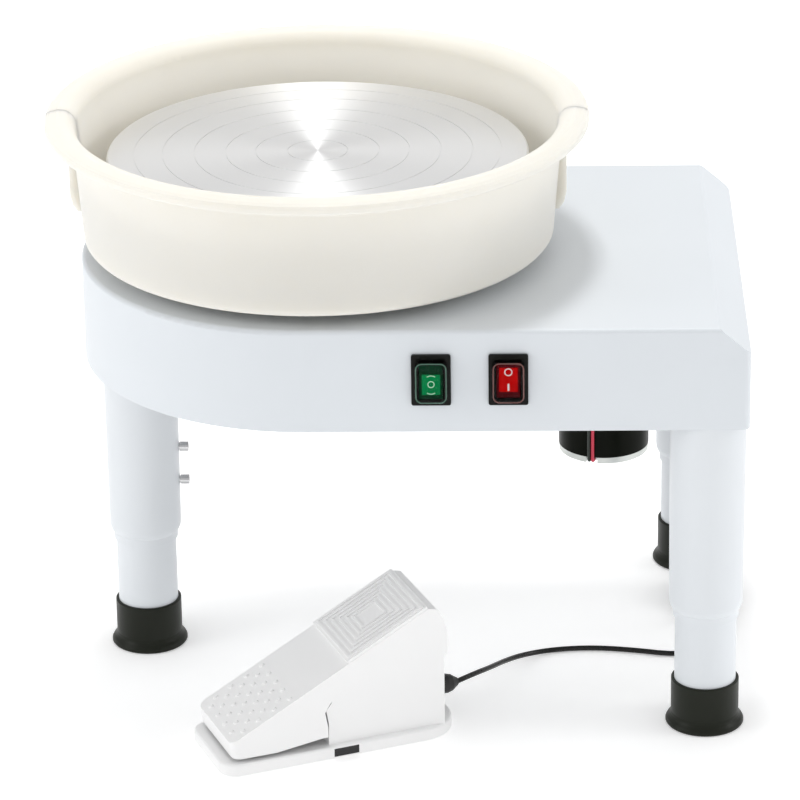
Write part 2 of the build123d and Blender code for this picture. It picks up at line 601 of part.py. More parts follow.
def clamp_screw():
    """A chromed cylindrical screw whose tip stops just short of the inner tube; it points along +X."""
    head_start = SLEEVE_LOW_RADIUS + 0.8
    tip = TUBE_RADIUS + 0.3
    return Pos(head_start, 0, 0) * Rot(0, 90, 0) * socket_screw(3.3, 6.0, 2.5, head_start - tip)


for name, (x, y, turn) in LEG_SPOTS.items():
    place = Pos(x, y, 0) * Rot(0, 0, turn)
    parts[f"leg_sleeve_{name}"] = place * leg_sleeve()
    parts[f"leg_tube_{name}"] = place * ring(TUBE_RADIUS, TUBE_RADIUS - 2, FOOT_SOLE, TUBE_TOP)
    parts[f"leg_foot_{name}"] = place * leg_foot()
parts["leg_clamp_screws"] = group(Pos(x, y, z) * Rot(0, 0, turn) * clamp_screw()
                                  for x, y, turn in LEG_SPOTS.values() for z in CLAMP_SCREW_Z)
leg_bolt = Pos(0, 0, PLATE_TOP) * hex_screw(5.0, 3.5, 3.0, 6.0)
parts["leg_mount_bolts"] = group(Pos(x, y) * Rot(0, 0, turn) * Pos(*polar(13, angle)) * leg_bolt
                                 for x, y, turn in LEG_SPOTS.values() for angle in (0, 120, 240))

# ---- foot pedal, in its own frame: U from the low end to the high end, V across, W up ----
pedal_place = Pos(*PEDAL_AT, 0) * Rot(0, 0, PEDAL_TURN)
GRIP_SPAN = (-15.5, 2.0)
GRIP_HEIGHTS = (0.8, 6.7)
RELIEF_W = 20.7
RELIEF_LENGTH = 21.4
PEDAL_SCREW_SPOTS = [(-60, -24), (-60, 24), (50, -22), (50, 22)]


def treadle_top(u):
    """Height of the treadle's sloping face."""
    return TREADLE_TOE[1] + (u - TREADLE_TOE[0]) * TREADLE_SLOPE


def pedal_base():
    """The base: a flat plate with a fixed box under the treadle's high end and lugs for the pivot pin."""
    middle = (PEDAL_BASE_FRONT + PEDAL_BASE_REAR) / 2
    plan = Pos(middle, 0) * Rectangle(PEDAL_BASE_REAR - PEDAL_BASE_FRONT, 2 * PEDAL_BASE_HALF)
    rear_corners = plan.vertices().sort_by(Axis.X)[-2:]
    plan = fillet(rear_corners, 26)
    plan = fillet(plan.vertices().sort_by(Axis.X)[:2], 12)
    plate = extrude(plan, PEDAL_BASE_HEIGHT)
    plate = fillet(plate.faces().sort_by(Axis.Z)[-1].edges(), 1.6)
    low = PEDAL_BASE_HEIGHT - 1
    outline = [(-17.6, low), (BOX_REAR, low), (BOX_REAR, 66), (-6, 46), (-14.8, 38.8), (-19.0, 33), (-17.4, 24)]
    box = side_plate(outline, BOX_HALF)
    space = side_plate([(-15.4, PEDAL_BASE_HEIGHT), (BOX_REAR - 2, PEDAL_BASE_HEIGHT), (BOX_REAR - 2, 80),
                        (-10, 80), (-16.6, 33.5), (-15.2, 24)], BOX_HALF - 2)
    base = plate + (box - space)
    lug = rod(4.0, -2, 2) + block((-4, -8, -2), (4, 0, 2))
    for side in (-1, 1):
        base += Pos(PIVOT[0], 24 * side, PIVOT[1]) * Rot(90, 0, 0) * lug
    base -= Pos(PIVOT[0], 0, PIVOT[1]) * Rot(90, 0, 0) * Cylinder(PIVOT_PIN_RADIUS, 60)
    base -= block((GRIP_SPAN[0], -PEDAL_BASE_HALF - 1, GRIP_HEIGHTS[0]),
                  (GRIP_SPAN[1], PEDAL_BASE_HALF + 1, GRIP_HEIGHTS[1]))
    base -= Pos(BOX_REAR, 0, RELIEF_W) * Rot(0, 90, 0) * Cylinder(4.5, 10)
    for u, v in PEDAL_SCREW_SPOTS:
        base -= Pos(u, v) * (rod(1.6, -1, PEDAL_BASE_HEIGHT + 1) + rod(3.2, -1, 2.5))
    return base


def treadle():
    """The treadle: a hollow wedge with deep skirts, a raised ribbed pad and a field of studs."""
    wall = TREADLE_WALL
    rear_top = (PAD_SPAN[1], treadle_top(PAD_SPAN[1]))
    outline = [(-84.5, 11.0), TREADLE_TOE, rear_top, (59.0, 93.2), (63.6, 86.0), (66.0, 77.5),
               (TREADLE_REAR, 68), (TREADLE_REAR, 64.5), (TREADLE_REAR - 0.7, 60), (-1, 47), (-16.5, 39.5),
               (-20.5, 33), (-18.6, 22), (-18.6, 14.8), (-22.5, 14.8), (-54.7, 10.7)]
    body = side_plate(outline, TREADLE_HALF)
    space = side_plate([(wall - 84.5, 0), (TREADLE_TOE[0] + wall, treadle_top(TREADLE_TOE[0] + wall) - 2.6),
                        (49.0, treadle_top(49.0) - 2.6), (56.0, 90.8), (61.5, 84.6), (64.2, 77.0),
                        (TREADLE_REAR - 1.4, 68), (TREADLE_REAR - 1.4, 0)], TREADLE_HALF - wall)
    toe_corners = body.edges().filter_by(lambda edge: edge.center().X < -85
                                         and edge.center().Z < TREADLE_TOE[1] - 1
                                         and abs(edge.center().Y) > TREADLE_HALF - 1)
    space_corners = space.edges().filter_by(lambda edge: edge.center().X < -80
                                            and abs(edge.center().Y) > TREADLE_HALF - wall - 1)
    body = fillet(toe_corners, 6) - fillet(space_corners, 6 - wall)
    eye = rod(4.0, 14, 20) + block((-4, 0, 14), (4, 9.5, 20))
    pivot = Pos(PIVOT[0], 0, PIVOT[1]) * Rot(90, 0, 0)
    body += pivot * (eye + Pos(0, 0, -34) * eye)
    body -= pivot * Cylinder(PIVOT_PIN_RADIUS + RUNNING_GAP, 2 * (TREADLE_HALF - wall) - 2)
    return body + treadle_pad() + treadle_studs()


PAD_SPAN = (-3.5, 53.0)
PAD_RISE = 2.0
STUD_ROWS = 8
STUD_ROW_STEP = 5.5
STUD_COLUMN_STEP = 13.3
TREADLE_LEAN = degrees(atan2(TREADLE_SLOPE, 1.0))


def on_treadle(u):
    """A place on the treadle's face at U, with its own Z square to the face."""
    return Pos(u, 0, treadle_top(u)) * Rot(0, -TREADLE_LEAN, 0)


def treadle_pad():
    """The raised rectangle at the high end, with ribs in nested rectangles."""
    length = (PAD_SPAN[1] - PAD_SPAN[0]) / cos(radians(TREADLE_LEAN))
    width = 2 * TREADLE_HALF - 0.6
    middle = on_treadle((PAD_SPAN[0] + PAD_SPAN[1]) / 2)
    pad = block((-length / 2, -width / 2, -0.5), (length / 2, width / 2, PAD_RISE))
    for step in range(6):
        inset = 2.0 + 4.0 * step
        outer = Rectangle(length - 2 * inset, width - 2 * inset)
        rib = outer - Rectangle(length - 2 * inset - 3.6, width - 2 * inset - 3.6)
        pad += Pos(0, 0, PAD_RISE) * extrude(rib, 1.0)
    return middle * pad


def treadle_studs():
    """Rows of small round studs at the low end, five and four in turn."""
    stud = Pos(0, 0, -0.5) * Cone(2.2, 1.3, 1.7, align=(Align.CENTER, Align.CENTER, Align.MIN))
    studs = []
    for row in range(STUD_ROWS):
        count = 5 - row % 2
        for column in range(count):
            across = STUD_COLUMN_STEP * (column - (count - 1) / 2)
            studs.append(on_treadle(-42.8 - STUD_ROW_STEP * row) * Pos(0, across, 0) * stud)
    return studs


def toothed_outline(radius, tooth_angles, pitch, root_drop, inner_points):
    """An outline with trapezoid teeth on a pitch circle, joined by the given inner points."""
    points = []
    root_half = degrees(0.27 * pitch / radius)
    tip_half = degrees(0.11 * pitch / radius)
    for angle in tooth_angles:
        corners = ((-root_half, -root_drop), (-tip_half, 0.85), (tip_half, 0.85), (root_half, -root_drop))
        for offset, extra in corners:
            reach = radius + extra
            points.append((reach * cos(radians(angle + offset)), reach * sin(radians(angle + offset))))
    return points + inner_points


GEAR_PITCH = 2 * pi * PINION_RADIUS / PINION_TEETH
MESH_ANGLE = degrees(atan2(SENSOR_AT[1] - PIVOT[1], SENSOR_AT[0] - PIVOT[0]))
SECTOR_RADIUS = hypot(SENSOR_AT[0] - PIVOT[0], SENSOR_AT[1] - PIVOT[1]) - PINION_RADIUS


def pedal_sector():
    """The toothed sector that hangs from the treadle and turns the sensor pinion; centred on the pivot."""
    step = degrees(GEAR_PITCH / SECTOR_RADIUS)
    angles = [MESH_ANGLE + step * k for k in range(-1, 6)]
    back = SECTOR_RADIUS - 5
    top_angle = angles[-1] + 1.0
    stem_u = back * cos(radians(top_angle))
    roof = treadle_top(PIVOT[0] + stem_u) - 2.7 - PIVOT[1]
    inner = [(stem_u + 4, roof + 2), (stem_u - 8, roof - 4.2), (stem_u - 8, back * sin(radians(top_angle))),
             (back * cos(radians(angles[0] - 0.6)), back * sin(radians(angles[0] - 0.6)))]
    outline = toothed_outline(SECTOR_RADIUS, angles, GEAR_PITCH, 1.1, inner)
    plate = side_plate(outline, 2.0)
    return Pos(PIVOT[0], 0, PIVOT[1]) * plate


def pedal_pinion():
    """The sensor's pinion and spindle."""
    facing = MESH_ANGLE + 180
    angles = [facing + 360 / PINION_TEETH * (k + 0.5) for k in range(PINION_TEETH)]
    wheel = side_plate(toothed_outline(PINION_RADIUS, angles, GEAR_PITCH, 1.1, []), 2.5)
    spindle = Rot(90, 0, 0) * Pos(0, 0, -8) * Cylinder(3.0, 13, align=(Align.CENTER, Align.CENTER, Align.MIN))
    return Pos(SENSOR_AT[0], 0, SENSOR_AT[1]) * (wheel + spindle)


def pedal_potentiometer():
    """The sensor's round case on a bracket that stands on the base."""
    case = Rot(90, 0, 0) * ring(8.5, 3.0 + RUNNING_GAP, -15, -5)
    bracket = block((-7, 5, -16), (7, 8, 0)) + block((-7, 5, -16), (7, 18, -13.5))
    bracket -= Rot(90, 0, 0) * rod(8.4, -20, 0)
    return Pos(SENSOR_AT[0], 0, SENSOR_AT[1]) * (case + bracket)


def pedal_strain_relief():
    """The black bell where the cord leaves the pedal's high end, along +U."""
    relief = turned([(0, 0), (8.0, 0), (8.0, 6.5), (7.3, 9.0), (6.6, 9.6), (6.6, 13.5), (5.6, 17.0),
                     (3.7, 19.6), (2.6, RELIEF_LENGTH), (0, RELIEF_LENGTH)])
    neck = rod(4.5, -4, 0.5)
    return Pos(BOX_REAR, 0, RELIEF_W) * Rot(0, 90, 0) * (relief + neck)


def treadle_spring():
    """The return spring's envelope between the base and the treadle's face."""
    return Pos(SPRING_U, 0, 0) * ring(6.5, 5.2, PEDAL_BASE_HEIGHT, treadle_top(SPRING_U) - 6.2)


parts["pedal_base"] = pedal_place * pedal_base()
parts["pedal_treadle"] = pedal_place * treadle()
pivot_pin = Rot(90, 0, 0) * Cylinder(PIVOT_PIN_RADIUS, 55)
parts["pedal_pivot_pin"] = pedal_place * Pos(PIVOT[0], 0, PIVOT[1]) * pivot_pin
parts["pedal_return_spring"] = pedal_place * treadle_spring()
parts["pedal_sector"] = pedal_place * pedal_sector()
parts["pedal_pinion"] = pedal_place * pedal_pinion()
parts["pedal_potentiometer"] = pedal_place * pedal_potentiometer()
parts["pedal_grip_strip"] = pedal_place * block((GRIP_SPAN[0], 0.3 - PEDAL_BASE_HALF, GRIP_HEIGHTS[0]),
                                                (GRIP_SPAN[1], PEDAL_BASE_HALF - 0.3, GRIP_HEIGHTS[1]))
base_screw = rod(3.0, 0.6, 2.5) + rod(1.6, 2.5, PEDAL_BASE_HEIGHT)
parts["pedal_base_screws"] = pedal_place * group(Pos(u, v) * base_screw for u, v in PEDAL_SCREW_SPOTS)
parts["pedal_strain_relief"] = pedal_place * pedal_strain_relief()

# ---- pedal cord ----
CORD_RADIUS = CORD_DIAMETER / 2
COIL_HEIGHT = COIL_LAYERS * CORD_DIAMETER
COIL_OUTER = COIL_RADIUS + CORD_DIAMETER
COIL_INNER = COIL_RADIUS - CORD_DIAMETER
relief_tip = pedal_place * Pos(BOX_REAR + RELIEF_LENGTH, 0, RELIEF_W)
GLAND_BOTTOM = 202.0

FLOOR_ROUTE = [
    tuple(relief_tip.position),
    (101.8, -100.0, 20.9),
    (112.5, -80.0, 15.6),
    (122.3, -56.5, 9.0),
    (135.5, -36.0, 3.6),
    (156.0, -24.8, CORD_RADIUS),
    (183.0, -22.0, CORD_RADIUS),
    (212.0, -26.5, CORD_RADIUS),
    (238.0, -33.5, CORD_RADIUS),
    (259.0, -28.5, CORD_RADIUS),
    (273.5, -11.0, CORD_RADIUS),
    (279.0, 12.0, CORD_RADIUS),
    (283.0, 35.0, CORD_RADIUS + 0.4),
    (283.4, 56.0, CORD_RADIUS + COIL_LIFT),
]
RISER_ROUTE = [
    (242.8, 58.0, 6.4),
    (244.0, 46.0, 4.8),
    (246.5, 33.5, 3.2),
    (250.0, 21.0, 5.6),
    (255.0, 11.0, 14.5),
    (259.6, 4.0, 31.0),
    (262.0, 0.4, 56.0),
    (262.6, -0.7, 90.0),
    (262.2, -1.5, 130.0),
    (*GLAND_AT, 168.0),
    (*GLAND_AT, GLAND_BOTTOM),
]


def corner_radii(points):
    """The arc for each corner: as large as its two runs allow."""
    radii = []
    for before, here, after in zip(points, points[1:], points[2:]):
        run_in, run_out = Vector(*here) - Vector(*before), Vector(*after) - Vector(*here)
        half_turn = radians(run_in.get_angle(run_out)) / 2
        radii.append(0.45 * min(run_in.length, run_out.length) / tan(half_turn))
    return radii


def cord_tube(name, points):
    """A round tube along straight runs joined by tangent arcs."""
    radii = corner_radii(points)
    path = FilletPolyline(*points, radius=radii)
    section = Plane(origin=path @ 0, z_dir=path % 0) * Circle(CORD_RADIUS)
    tube = sweep(section, path=path)
    wanted = pi * CORD_RADIUS ** 2 * path.length
    print(name, "length", round(path.length, 1), "radii", [round(r) for r in radii],
          "volume ratio", round(tube.volume / wanted, 4))
    return tube


def cord_coil():
    """The outer shape of the tied coil on the floor."""
    return Pos(*COIL_AT, 0) * ring(COIL_OUTER, COIL_INNER, COIL_LIFT, COIL_LIFT + COIL_HEIGHT)


def cord_tie():
    """A strap round the bundle of turns at the back of the coil."""
    inner_low, inner_high = COIL_INNER - 0.8, COIL_OUTER + 0.1
    strap = block((-4, inner_low - 0.8, 0), (4, inner_high + 0.8, COIL_HEIGHT + 2 * COIL_LIFT))
    strap -= block((-5, inner_low, COIL_LIFT), (5, inner_high, COIL_LIFT + COIL_HEIGHT))
    return Pos(*COIL_AT, 0) * strap


def cord_gland():
    """The gland in the bottom plate: a nut inside, a collar outside and a tapered grip round the cord."""
    gland = turned([(0, GLAND_BOTTOM), (2.6, GLAND_BOTTOM), (6.2, GLAND_BOTTOM + 8), (8.0, GLAND_BOTTOM + 9),
                    (8.0, HOUSING_BOTTOM), (5.9, HOUSING_BOTTOM), (5.9, PLATE_TOP), (8.5, PLATE_TOP),
                    (8.5, PLATE_TOP + 4), (0, PLATE_TOP + 4)])
    return Pos(*GLAND_AT, 0) * gland


parts["pedal_cord_floor"] = cord_tube("floor run", FLOOR_ROUTE)
parts["pedal_cord_coil"] = cord_coil()
parts["pedal_cord_tie"] = cord_tie()
parts["pedal_cord_riser"] = cord_tube("riser", RISER_ROUTE)
parts["pedal_cord_gland"] = cord_gland()

# ---- write every sub-part ----
for name, shape in parts.items():
    export_step(Pos(*SPINDLE_AT) * shape, f"parts/{name}.step")
print(len(parts), "sub-parts")
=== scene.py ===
import json
from math import cos, pi, radians, sin

import bmesh
import bpy
from mathutils import Matrix, Vector


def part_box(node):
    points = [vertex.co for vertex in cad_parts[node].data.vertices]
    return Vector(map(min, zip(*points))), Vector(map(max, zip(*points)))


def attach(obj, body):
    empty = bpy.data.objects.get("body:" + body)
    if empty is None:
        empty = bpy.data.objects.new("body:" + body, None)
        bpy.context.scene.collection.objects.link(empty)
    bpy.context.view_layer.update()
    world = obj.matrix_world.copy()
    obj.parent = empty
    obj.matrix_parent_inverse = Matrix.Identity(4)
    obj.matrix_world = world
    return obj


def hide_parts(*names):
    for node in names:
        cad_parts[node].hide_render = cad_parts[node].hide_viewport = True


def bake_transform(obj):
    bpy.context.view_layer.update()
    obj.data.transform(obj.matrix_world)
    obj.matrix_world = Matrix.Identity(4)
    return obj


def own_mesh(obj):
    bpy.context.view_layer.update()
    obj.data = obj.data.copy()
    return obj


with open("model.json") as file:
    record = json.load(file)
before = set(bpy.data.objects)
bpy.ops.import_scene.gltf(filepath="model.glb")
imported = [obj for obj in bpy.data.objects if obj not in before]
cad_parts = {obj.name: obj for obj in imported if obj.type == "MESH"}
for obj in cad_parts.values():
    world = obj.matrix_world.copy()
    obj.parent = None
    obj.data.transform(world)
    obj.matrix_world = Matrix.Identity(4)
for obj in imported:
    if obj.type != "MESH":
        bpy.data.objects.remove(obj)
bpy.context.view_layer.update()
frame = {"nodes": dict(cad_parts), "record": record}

NODES = frame["nodes"]
MM = 0.001


def centre(node):
    """The middle of a CAD node's box."""
    low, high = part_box(node)
    return (low + high) / 2


SPINDLE = centre("wheel_head")


def spot(x, y, z):
    """A point given in millimetres from the floor under the spindle."""
    return Vector((SPINDLE.x + x * MM, SPINDLE.y + y * MM, z * MM))


# ---- camera ----
CAMERA_TARGET = spot(52.2, 0, 178.2)
CAMERA_DISTANCE = 3.156
CAMERA_YAW = -0.02296
CAMERA_PITCH = 0.40191
CAMERA_ROLL = -0.01476
CAMERA_LENS = 209.4
SENSOR_WIDTH = 36


def make_camera():
    """A long lens looking down at the front, turned and tilted as in the photograph."""
    ahead = cos(CAMERA_PITCH)
    forward = Vector((sin(CAMERA_YAW) * ahead, cos(CAMERA_YAW) * ahead, -sin(CAMERA_PITCH)))
    level_right = Vector((cos(CAMERA_YAW), -sin(CAMERA_YAW), 0))
    level_up = level_right.cross(forward)
    right = level_right * cos(CAMERA_ROLL) + level_up * sin(CAMERA_ROLL)
    up = right.cross(forward)
    data = bpy.data.cameras.new("camera")
    data.lens = CAMERA_LENS
    data.sensor_width = SENSOR_WIDTH
    camera = bpy.data.objects.new("camera", data)
    bpy.context.scene.collection.objects.link(camera)
    turn = Matrix((right, up, -forward)).transposed().to_4x4()
    camera.matrix_world = Matrix.Translation(CAMERA_TARGET - forward * CAMERA_DISTANCE) @ turn
    bpy.context.scene.camera = camera


make_camera()


# ---- building helpers ----
def add_object(name, data):
    """An object with this data, linked to the scene."""
    piece = bpy.data.objects.new(name, data)
    bpy.context.scene.collection.objects.link(piece)
    return piece


CREASE = radians(35)


def smooth(mesh):
    """Smooth shading with creases kept sharp."""
    for polygon in mesh.polygons:
        polygon.use_smooth = True
    mesh.set_sharp_from_angle(angle=CREASE)


def mesh_object(name, bm):
    """A mesh object from a bmesh, with its normals set right and smooth shading."""
    bmesh.ops.recalc_face_normals(bm, faces=bm.faces)
    mesh = bpy.data.meshes.new(name)
    bm.to_mesh(mesh)
    bm.free()
    smooth(mesh)
    return add_object(name, mesh)


def tube_along(name, points, radius, sides=14):
    """A closed round tube that follows the points without twisting."""
    bm = bmesh.new()
    following = points[1:] + points[-1:]
    previous = points[:1] + points[:-1]
    tangents = [(after - before).normalized() for before, after in zip(previous, following)]
    across = tangents[0].orthogonal().normalized()
    loops = []
    for point, tangent in zip(points, tangents):
        across = (across - tangent * across.dot(tangent)).normalized()
        other = tangent.cross(across)
        angles = [2 * pi * k / sides for k in range(sides)]
        loops.append([bm.verts.new(point + radius * (across * cos(a) + other * sin(a))) for a in angles])
    for one, two in zip(loops, loops[1:]):
        for k in range(sides):
            bm.faces.new((one[k], one[(k + 1) % sides], two[(k + 1) % sides], two[k]))
    bm.faces.new(loops[0])
    bm.faces.new(loops[-1])
    return mesh_object(name, bm)


# ---- pedal cord ----
CORD_RADIUS = 1.8
CORD_DIAMETER = 2 * CORD_RADIUS * MM
COIL_CENTRE = (262.5, 62.0)
COIL_INNER = 16.4
COIL_OUTER = 20.0
COIL_FLOOR = 2.6
COIL_LAYER = 3.6
COIL_START = 8.0
COIL_STEP_DEG = 22.5
SPLINE_SHRINK = 0.75 + 0.25 * cos(radians(COIL_STEP_DEG))     # the spline's radius over its points' radius

FLOOR_ROUTE = [
    (90.35, -110.89, 20.7),
    (101.8, -100.0, 20.9),
    (112.5, -80.0, 15.6),
    (122.3, -56.5, 9.0),
    (135.5, -36.0, 3.6),
    (156.0, -24.8, CORD_RADIUS),
    (183.0, -22.0, CORD_RADIUS),
    (212.0, -26.5, CORD_RADIUS),
    (238.0, -33.5, CORD_RADIUS),
    (259.0, -28.5, CORD_RADIUS),
    (273.5, -11.0, CORD_RADIUS),
    (279.0, 12.0, CORD_RADIUS),
    (283.0, 35.0, CORD_RADIUS + 0.4),
    (283.4, 56.0, COIL_FLOOR),
]
RISER_ROUTE = [
    (244.0, 46.0, 4.8),
    (246.5, 33.5, 3.2),
    (250.0, 21.0, 5.6),
    (255.0, 11.0, 14.5),
    (259.6, 4.0, 31.0),
    (262.0, 0.4, 56.0),
    (262.6, -0.7, 90.0),
    (262.2, -1.5, 130.0),
    (262.5, -1.0, 168.0),
    (262.5, -1.0, 202.0),
]


def coil_route():
    """Three turns up in the inner column, then two turns down round them in the outer column."""
    spiral_in, inner_turns, step_out, leave = 120.0, 1080.0, 90.0, 1990.0
    lead_in, outset = 16.0, 0.8
    points = []
    angle = COIL_START
    while angle < leave:
        if angle < spiral_in:
            share = (angle + lead_in) / (spiral_in + lead_in)
            radius, height = COIL_OUTER + outset - (COIL_OUTER + outset - COIL_INNER) * share, 0.0
        elif angle < spiral_in + inner_turns:
            radius, height = COIL_INNER, (angle - spiral_in) / 360
        elif angle < spiral_in + inner_turns + step_out:
            share = (angle - spiral_in - inner_turns) / step_out
            radius, height = COIL_INNER + (COIL_OUTER - COIL_INNER) * share, 3.0
        else:
            radius, height = COIL_OUTER, 3.0 - (angle - spiral_in - inner_turns - step_out) / 360
        reach = radius / SPLINE_SHRINK
        turn = radians(angle)
        points.append((COIL_CENTRE[0] + reach * cos(turn), COIL_CENTRE[1] + reach * sin(turn),
                       COIL_FLOOR + COIL_LAYER * height))
        angle += COIL_STEP_DEG
    return points


def spline_points(route):
    """The smooth line through a route, read from a NURBS spline with no bevel."""
    curve = bpy.data.curves.new("cord_line", "CURVE")
    curve.dimensions = "3D"
    curve.resolution_u = 8
    spline = curve.splines.new("NURBS")
    spline.points.add(len(route) - 1)
    for point, place in zip(spline.points, route):
        point.co = (*spot(*place), 1)
    spline.order_u = 3
    spline.use_endpoint_u = True
    line = add_object("cord_line", curve)
    mesh = bpy.data.meshes.new_from_object(line)
    points = [v.co.copy() for v in mesh.vertices]
    bpy.data.objects.remove(line)
    return points


cord_line = spline_points(FLOOR_ROUTE + coil_route() + RISER_ROUTE)
pedal_cord = tube_along("pedal_cord", cord_line, CORD_DIAMETER / 2)
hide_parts("pedal_cord_floor", "pedal_cord_coil", "pedal_cord_riser")
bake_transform(pedal_cord)


# ---- pedal spring ----
PEDAL_AT = (10.9, -143.8)
PEDAL_TURN = radians(22.5)
SPRING_FOOT = 8.0
SPRING_TOP = 62.0
SPRING_ALONG = 2.0


def pedal_spot(along, across, up):
    """A point in the pedal's own frame, in millimetres."""
    return spot(PEDAL_AT[0] + along * cos(PEDAL_TURN) - across * sin(PEDAL_TURN),
                PEDAL_AT[1] + along * sin(PEDAL_TURN) + across * cos(PEDAL_TURN), up)


def make_spring():
    """The return spring: nine open coils with a closed coil at each end, of round wire."""
    wire, coil, steps, open_turns = 0.65, 5.8, 24, 9
    low, high = SPRING_FOOT + wire, SPRING_TOP - wire
    turns = open_turns + 2
    points = []
    for step in range(turns * steps + 1):
        turn = step / steps
        share = min(max((turn - 1) / open_turns, 0), 1)
        lift = 2 * wire * (min(turn, 1) + max(turn - 1 - open_turns, 0))
        angle = 2 * pi * turn
        height = low + lift + (high - low - 4 * wire) * share
        points.append(pedal_spot(SPRING_ALONG + coil * cos(angle), coil * sin(angle), height))
    spring = tube_along("return_spring", points, wire * MM, sides=10)
    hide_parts("pedal_return_spring")
    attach(spring, "stand")
    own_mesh(spring)
    return spring


# ---- rocker windows, marks and boot rims, tinted as a painted highlight ----
SWITCH_Z = 257.5
SWITCH_FRONT = -153.0
ROCKER_AXIS = -149.0
ROCKERS = {"direction": (75.8, 0.0), "power": (125.4, -8.0)}
WINDOW_WIDTH = 11.8
WINDOW_RISE = 0.45
MARK_RISE = 0.62


def rocker_place(name):
    """Takes millimetres about a rocker's axis, with the rocker at its rest tilt, to the row frame."""
    x, tilt = ROCKERS[name]
    return (Matrix.Translation(spot(x, ROCKER_AXIS, SWITCH_Z)) @ Matrix.Rotation(radians(tilt), 4, "X")
            @ Matrix.Scale(MM, 4))


def rocker_face(z):
    """How far the rocker's dished face stands in front of its axis, at a height from the axis."""
    return 7.2 + 0.8 * (abs(z) / 7.5) ** 1.2


def face_slab(name, place, width, low, high, rise):
    """A slab with rounded edges that follows the rocker's dished face."""
    bm = bmesh.new()
    rows = []
    count = 12
    for step in range(count + 1):
        z = low + (high - low) * step / count
        front, back = -rocker_face(z) - rise, 0.6 - rocker_face(z)
        corners = ((-1, front), (1, front), (1, back), (-1, back))
        rows.append([bm.verts.new((side * width / 2, y, z)) for side, y in corners])
    for one, two in zip(rows, rows[1:]):
        for k in range(4):
            bm.faces.new((one[k], one[(k + 1) % 4], two[(k + 1) % 4], two[k]))
    bm.faces.new(rows[0])
    bm.faces.new(rows[-1])
    bmesh.ops.recalc_face_normals(bm, faces=bm.faces)
    edges = [edge for edge in bm.edges if edge.calc_face_angle(0) > radians(60)]
    bmesh.ops.bevel(bm, geom=edges, offset=rise * 0.7, segments=2, profile=0.5, affect="EDGES")
    bm.transform(place)
    return mesh_object(name, bm)


def closed_band(name, place, outlines):
    """A closed ring-shaped skin through outlines that all have the same number of points."""
    bm = bmesh.new()
    loops = [[bm.verts.new(point) for point in outline] for outline in outlines]
    for one, two in zip(loops, loops[1:] + loops[:1]):
        for k in range(len(one)):
            bm.faces.new((one[k], one[(k + 1) % len(one)], two[(k + 1) % len(one)], two[k]))
    bm.transform(place)
    return mesh_object(name, bm)


def circle_mark(name, place, radius, width, middle_z):
    """A printed O, raised like a thick ink, that follows the rocker's face."""
    outlines = []
    edge = width / 2
    for reach, rise in ((edge, 0.0), (edge - 0.1, MARK_RISE), (0.1 - edge, MARK_RISE), (-edge, 0.0)):
        outline = []
        for step in range(32):
            angle = 2 * pi * step / 32
            z = middle_z + (radius + reach) * sin(angle)
            outline.append(((radius + reach) * cos(angle), -rocker_face(z) - rise, z))
        outlines.append(outline)
    return closed_band(name, place, outlines)


def rounded_outline(width, height, corner, y):
    """A rectangle with round corners, standing upright at this depth."""
    points = []
    for quarter in range(4):
        turn = quarter * pi / 2
        side_x = 1 if quarter in (0, 3) else -1
        side_z = 1 if quarter in (0, 1) else -1
        for step in range(7):
            angle = turn + step / 6 * pi / 2
            points.append((side_x * (width / 2 - corner) + corner * cos(angle), y,
                           side_z * (height / 2 - corner) + corner * sin(angle)))
    return points


def boot_rim(name, x):
    """The bead where the clear boot turns from its sides to its face; its light tint is a painted highlight
    along the boot's edge.
    """
    place = Matrix.Translation(spot(x, SWITCH_FRONT, SWITCH_Z)) @ Matrix.Scale(MM, 4)
    width, height, bead = 21.0, 28.5, 0.42
    outlines = []
    for step in range(8):
        angle = 2 * pi * step / 8
        grow = 2 * bead * cos(angle)
        outlines.append(rounded_outline(width - 1.6 + grow, height - 1.6 + grow, 3.9 + grow / 2,
                                        -7.35 + bead * sin(angle)))
    return closed_band(name, place, outlines)


def arc_mark(name, place, middle_z, bulge):
    """A short printed arc on the rocker's face, bulging up (+1) or down (-1)."""
    points = []
    for step in range(9):
        x = -2.6 + 5.2 * step / 8
        z = middle_z + bulge * 0.8 * (1 - (x / 2.6) ** 2)
        points.append(place @ Vector((x, -rocker_face(z) - 0.4, z)))
    return tube_along(name, points, 0.32 * MM, sides=8)


def make_switch_faces():
    """The lit window and the printed marks of both rockers, and the beads of both boots, whose light tint
    is a painted highlight.
    """
    pieces = {}
    for name, (x, _) in ROCKERS.items():
        place = rocker_place(name)
        pieces[f"{name}_boot_rim"] = (boot_rim(f"{name}_boot_rim", x), "table")
        body = f"{name}_rocker"
        if name == "direction":
            pieces["direction_window"] = (face_slab("direction_window", place, WINDOW_WIDTH, -9.0, 4.8,
                                                    WINDOW_RISE), body)
            pieces["direction_mark"] = (circle_mark("direction_mark", place, 2.0, 0.75, -2.0), body)
            pieces["direction_mark_up"] = (arc_mark("direction_mark_up", place, 3.3, 1), body)
            pieces["direction_mark_down"] = (arc_mark("direction_mark_down", place, -7.6, -1), body)
        else:
            pieces["power_window"] = (face_slab("power_window", place, WINDOW_WIDTH, -8.0, 8.0,
                                                WINDOW_RISE), body)
            pieces["power_mark_off"] = (circle_mark("power_mark_off", place, 2.3, 0.8, 5.0), body)
            pieces["power_mark_on"] = (face_slab("power_mark_on", place, 1.4, -7.4, -2.6, MARK_RISE), body)
    for piece, body in pieces.values():
        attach(piece, body)
    return {name: piece for name, (piece, _) in pieces.items()}


return_spring = make_spring()
switch_faces = make_switch_faces()


